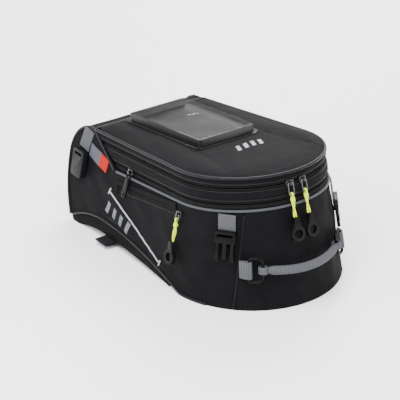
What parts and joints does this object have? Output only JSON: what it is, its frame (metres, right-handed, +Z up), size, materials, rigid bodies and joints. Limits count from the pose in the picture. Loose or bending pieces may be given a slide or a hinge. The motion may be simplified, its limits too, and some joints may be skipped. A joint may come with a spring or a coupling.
{
  "type": "tank bag",
  "caption": "Soft motorcycle tank bag with an arched anti-slip base, zipped expanding collar, padded lid with a clear phone pocket, side pockets and a carry handle.",
  "frame": {"origin": "bottom centre of the bounding box, where the bag stands on its pad", "axes": "+Y towards the steering head, -Y towards the rider, +Z up, +X to the rider's right"},
  "size_m": [0.2436, 0.3922, 0.169],
  "materials": {
    "shell": "woven 600 denier polyester",
    "foam": "lined closed-cell foam",
    "pad": "soft anti-slip underside",
    "piping_bright": "reflective piping",
    "piping_dark": "satin piping",
    "zip": "coil zip on woven tape",
    "reflective": "retroreflective print",
    "label": "woven label, grey and red-orange",
    "webbing": "grey polyester webbing",
    "black_plastic": "acetal",
    "grey_plastic": "acetal",
    "slider_metal": "black enamelled die-cast",
    "wire": "blackened wire",
    "cord": "neon yellow braided cord",
    "grip": "moulded rubber",
    "film": "clear film",
    "frame_film": "welded border"
  },
  "bodies": {
    "body": {"side_panel_left": "shell", "side_panel_right": "shell", "rear_panel": "shell", "side_foam_left": "foam", "side_foam_right": "foam", "rear_foam": "foam", "front_panel": "shell", "front_foam": "foam", "base_floor": "foam", "base_pad": "pad", "top_piping": "piping_bright", "front_edge_piping": "piping_dark", "lower_piping": "piping_dark", "seam_stripes": "reflective", "side_bars": "reflective", "side_labels": "label", "expander_zip_lower": "zip", "expander_gusset": "shell", "pocket_zips": "zip", "pocket_flaps": "shell", "d_rings": "black_plastic", "handle_loops": "webbing", "front_strap_loops": "webbing", "strap_loops": "webbing"},
    "collar": {"collar_band": "shell", "main_zip_lower": "zip", "expander_zip_upper": "zip"},
    "lid": {"lid_cover": "shell", "lid_foam": "foam", "lid_skirt": "shell", "lid_binding": "shell", "main_zip_upper": "zip", "window_frame": "frame_film", "window_film": "film", "lid_bars": "reflective"},
    "main_slider_left": {"main_slider_left": "slider_metal"},
    "main_bail_left": {"main_bail_left": "wire"},
    "main_pull_left": {"main_cord_left": "cord", "main_grip_left": "grip"},
    "pocket_slider_left": {"pocket_slider_left": "slider_metal"},
    "pocket_bail_left": {"pocket_bail_left": "wire"},
    "pocket_pull_left": {"pocket_cord_left": "cord", "pocket_grip_left": "grip"},
    "rear_buckle_left": {"rear_tab_left": "webbing", "rear_buckle_left": "black_plastic"},
    "front_buckle_left": {"front_buckle_left": "grey_plastic"},
    "main_slider_right": {"main_slider_right": "slider_metal"},
    "main_bail_right": {"main_bail_right": "wire"},
    "main_pull_right": {"main_cord_right": "cord", "main_grip_right": "grip"},
    "pocket_slider_right": {"pocket_slider_right": "slider_metal"},
    "pocket_bail_right": {"pocket_bail_right": "wire"},
    "pocket_pull_right": {"pocket_cord_right": "cord", "pocket_grip_right": "grip"},
    "rear_buckle_right": {"rear_tab_right": "webbing", "rear_buckle_right": "black_plastic"},
    "front_buckle_right": {"front_buckle_right": "grey_plastic"},
    "expander_slider": {"expander_slider": "slider_metal"},
    "expander_pull": {"expander_pull": "black_plastic"},
    "carry_handle": {"carry_handle": "webbing"}
  },
  "joints": [
    {"name": "collar_rise", "type": "hinge", "parent": "body", "child": "collar", "pos_m": [0, 0.14547, 0.13243], "axis": [-1, 0, 0], "range_deg": [0, 9], "deforming": ["expander_gusset"]},
    {"name": "lid_open", "type": "hinge", "parent": "collar", "child": "lid", "pos_m": [0, 0.14547, 0.13243], "axis": [-1, 0, 0], "range_deg": [0, 105]},
    {"name": "main_zip_left", "type": "hinge", "parent": "collar", "child": "main_slider_left", "pos_m": [0, -0.06269, 0.14206], "axis": [0, 0.1132, 0.9936], "range_deg": [-30, 0]},
    {"name": "main_bail_left", "type": "hinge", "parent": "main_slider_left", "child": "main_bail_left", "pos_m": [-0.00981, -0.16211, 0.15339], "axis": [-0.9952, 0.097, -0.011], "range_deg": [0, 120]},
    {"name": "main_pull_left", "type": "hinge", "parent": "main_bail_left", "child": "main_pull_left", "pos_m": [-0.01007, -0.16636, 0.13901], "axis": [-0.9952, 0.097, -0.011], "range_deg": [0, 80]},
    {"name": "pocket_zip_left", "type": "slide", "parent": "body", "child": "pocket_slider_left", "axis": [0.028, 0.9874, -0.1559], "range_m": [0, 0.1]},
    {"name": "pocket_bail_left", "type": "hinge", "parent": "pocket_slider_left", "child": "pocket_bail_left", "pos_m": [-0.10549, -0.0653, 0.1006], "axis": [0.0486, 0.9988, -0.0013], "range_deg": [0, 100]},
    {"name": "pocket_pull_left", "type": "hinge", "parent": "pocket_bail_left", "child": "pocket_pull_left", "pos_m": [-0.1072, -0.06523, 0.09279], "axis": [0.0486, 0.9988, -0.0013], "range_deg": [0, 50]},
    {"name": "rear_buckle_left", "type": "hinge", "parent": "body", "child": "rear_buckle_left", "pos_m": [-0.07918, -0.12949, 0.11834], "axis": [-0.6157, 0.788, 0], "range_deg": [0, 100]},
    {"name": "front_buckle_left", "type": "hinge", "parent": "body", "child": "front_buckle_left", "pos_m": [-0.09408, 0.16276, 0.09902], "axis": [0.0539, 0.9985, 0], "range_deg": [0, 100]},
    {"name": "main_zip_right", "type": "hinge", "parent": "collar", "child": "main_slider_right", "pos_m": [0, -0.06269, 0.14206], "axis": [0, 0.1132, 0.9936], "range_deg": [0, 30]},
    {"name": "main_bail_right", "type": "hinge", "parent": "main_slider_right", "child": "main_bail_right", "pos_m": [0.00981, -0.16211, 0.15339], "axis": [-0.9952, -0.097, 0.011], "range_deg": [0, 120]},
    {"name": "main_pull_right", "type": "hinge", "parent": "main_bail_right", "child": "main_pull_right", "pos_m": [0.01007, -0.16636, 0.13901], "axis": [-0.9952, -0.097, 0.011], "range_deg": [0, 80]},
    {"name": "pocket_zip_right", "type": "slide", "parent": "body", "child": "pocket_slider_right", "axis": [-0.028, 0.9874, -0.1559], "range_m": [0, 0.1]},
    {"name": "pocket_bail_right", "type": "hinge", "parent": "pocket_slider_right", "child": "pocket_bail_right", "pos_m": [0.10549, -0.0653, 0.1006], "axis": [0.0486, -0.9988, 0.0013], "range_deg": [0, 100]},
    {"name": "pocket_pull_right", "type": "hinge", "parent": "pocket_bail_right", "child": "pocket_pull_right", "pos_m": [0.1072, -0.06523, 0.09279], "axis": [0.0486, -0.9988, 0.0013], "range_deg": [0, 50]},
    {"name": "rear_buckle_right", "type": "hinge", "parent": "body", "child": "rear_buckle_right", "pos_m": [0.07918, -0.12949, 0.11834], "axis": [-0.6157, -0.788, 0], "range_deg": [0, 100]},
    {"name": "front_buckle_right", "type": "hinge", "parent": "body", "child": "front_buckle_right", "pos_m": [0.09408, 0.16276, 0.09902], "axis": [0.0539, -0.9985, 0], "range_deg": [0, 100]},
    {"name": "expander_zip", "type": "slide", "parent": "body", "child": "expander_slider", "axis": [-0.061, -0.9917, 0.113], "range_m": [0, 0.1]},
    {"name": "expander_pull", "type": "hinge", "parent": "expander_slider", "child": "expander_pull", "pos_m": [-0.09501, 0.05254, 0.1088], "axis": [0.061, 0.9917, -0.113], "range_deg": [0, 120]},
    {"name": "handle_lift", "type": "hinge", "parent": "body", "child": "carry_handle", "pos_m": [0, -0.1712, 0.05437], "axis": [-1, 0, 0], "range_deg": [-10, 25]}
  ]
}
